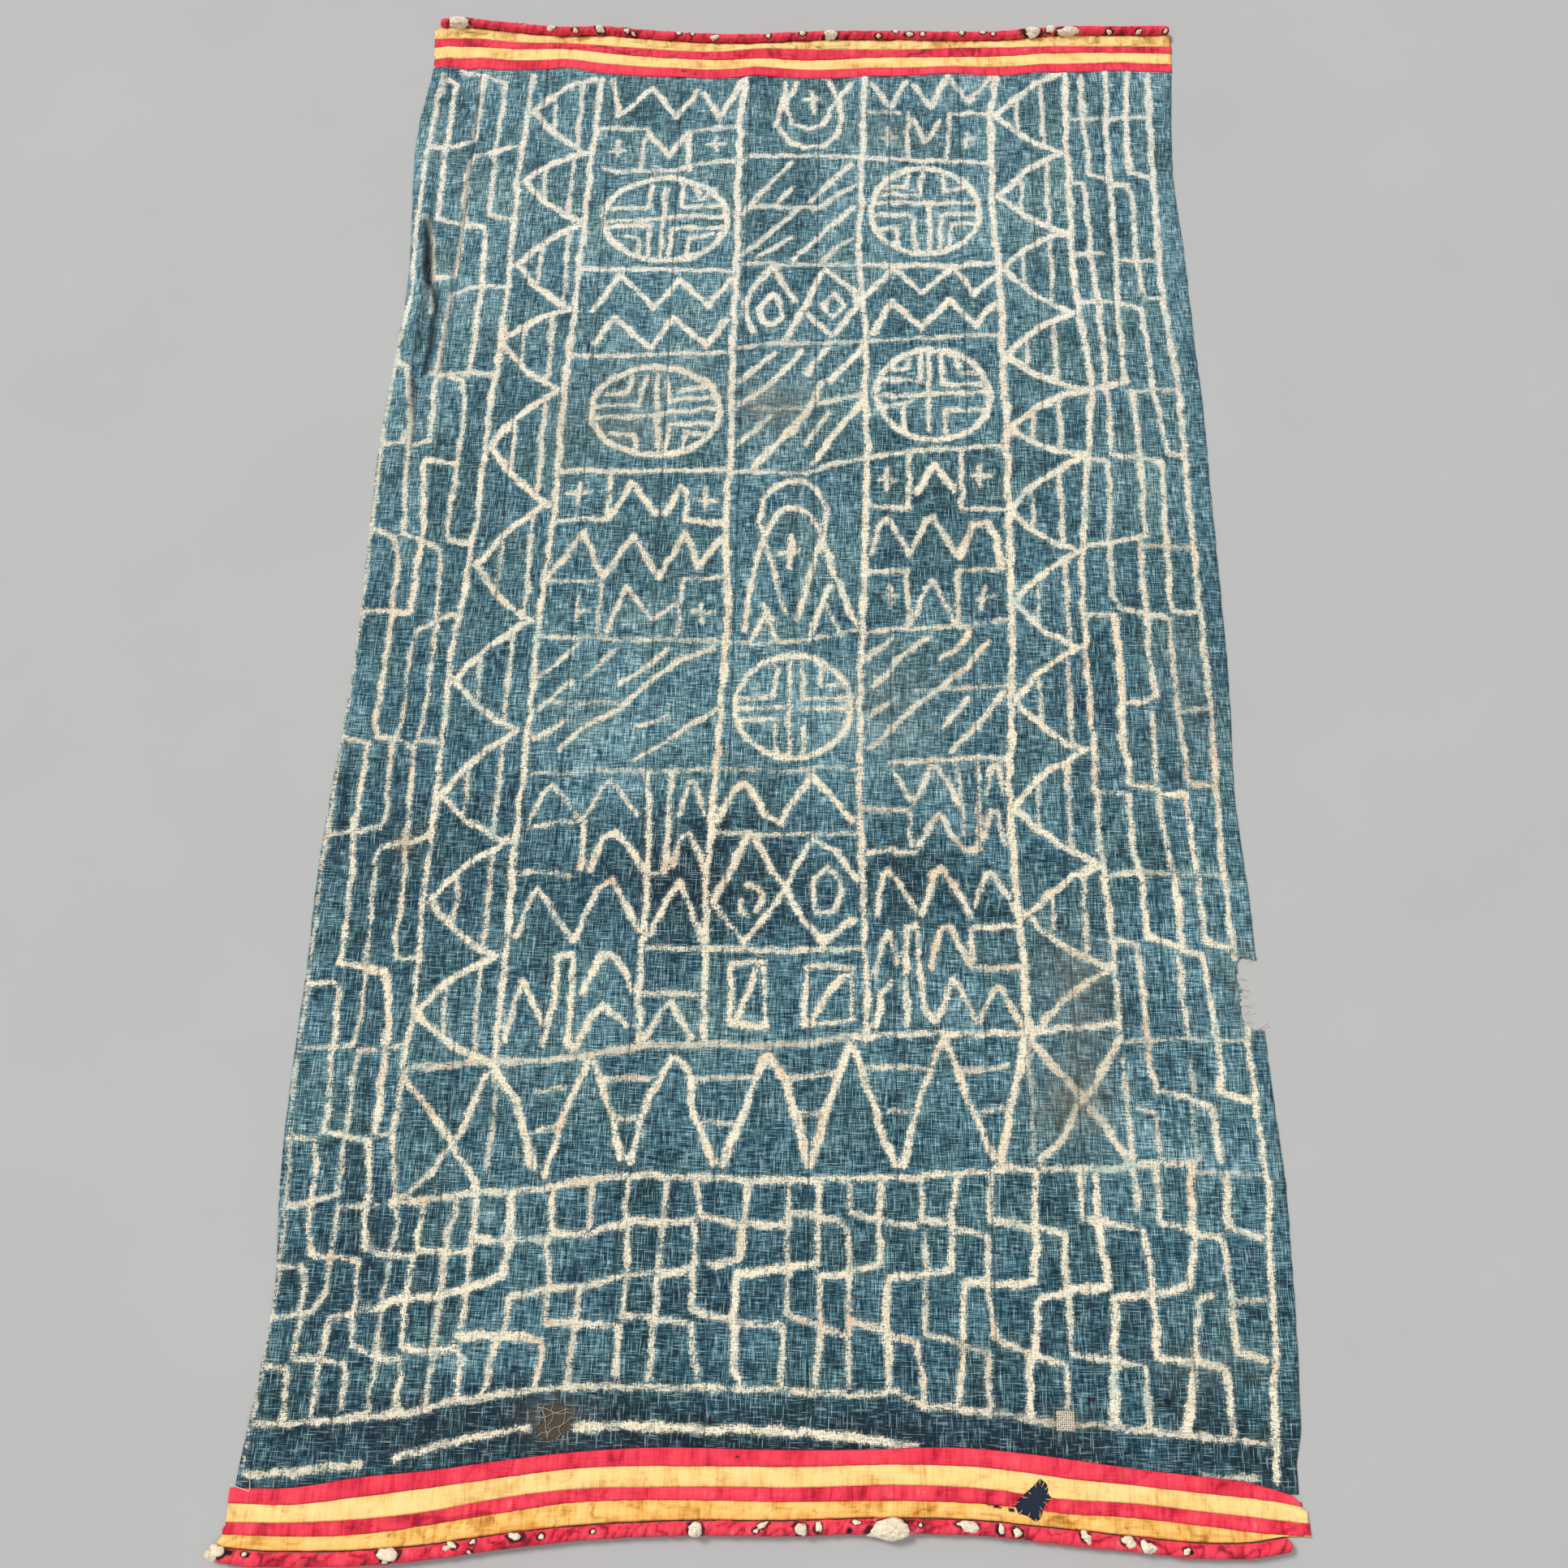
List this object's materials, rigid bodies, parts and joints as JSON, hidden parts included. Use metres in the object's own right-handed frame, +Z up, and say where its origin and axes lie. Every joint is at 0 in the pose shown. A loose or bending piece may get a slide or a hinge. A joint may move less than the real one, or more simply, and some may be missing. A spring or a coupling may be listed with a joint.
{
  "type": "ndop cloth",
  "caption": "Large resist-dyed indigo cloth of narrow woven strips, laid flat, with red and yellow end borders and worn padded rolls at both ends.",
  "frame": {"origin": "middle of the cloth's outline, on the surface that it lies on", "axes": "+X across the woven strips, +Y along them to the far end, +Z up from the surface"},
  "size_m": [1.559, 2.7992, 0.0224],
  "materials": {
    "indigo_cotton": "matt plain-woven cotton, indigo with undyed cream figures",
    "red_cotton": "matt plain red cotton",
    "yellow_cotton": "matt plain yellow cotton",
    "navy_cotton": "matt dark navy cotton",
    "cotton_wadding": "loose unspun cream cotton"
  },
  "bodies": {
    "root": {"strip_01": "indigo_cotton", "strip_02": "indigo_cotton", "strip_03": "indigo_cotton", "strip_04": "indigo_cotton", "strip_05": "indigo_cotton", "strip_06": "indigo_cotton", "strip_07": "indigo_cotton", "strip_08": "indigo_cotton", "strip_09": "indigo_cotton", "strip_10": "indigo_cotton", "strip_11": "indigo_cotton", "near_inner_red": "red_cotton", "near_inner_yellow": "yellow_cotton", "near_outer_red": "red_cotton", "near_outer_yellow": "yellow_cotton", "far_inner_red": "red_cotton", "far_inner_yellow": "yellow_cotton", "far_outer_red": "red_cotton", "far_outer_yellow": "yellow_cotton", "near_facing": "navy_cotton", "near_roll": "red_cotton", "far_roll": "red_cotton", "near_tuft_end": "cotton_wadding", "near_tuft_a": "cotton_wadding", "near_tuft_b": "cotton_wadding", "near_tuft_c": "cotton_wadding", "near_tuft_d": "cotton_wadding", "near_tuft_big": "cotton_wadding", "near_tuft_e": "cotton_wadding", "near_tuft_f": "cotton_wadding", "near_tuft_g": "cotton_wadding", "near_tuft_h": "cotton_wadding", "far_tuft_corner": "cotton_wadding", "far_tuft_a": "cotton_wadding", "far_tuft_b": "cotton_wadding", "far_tuft_c": "cotton_wadding", "far_tuft_d": "cotton_wadding", "far_tuft_e": "cotton_wadding", "far_tuft_f": "cotton_wadding", "far_tuft_g": "cotton_wadding"}
  },
  "joints": []
}
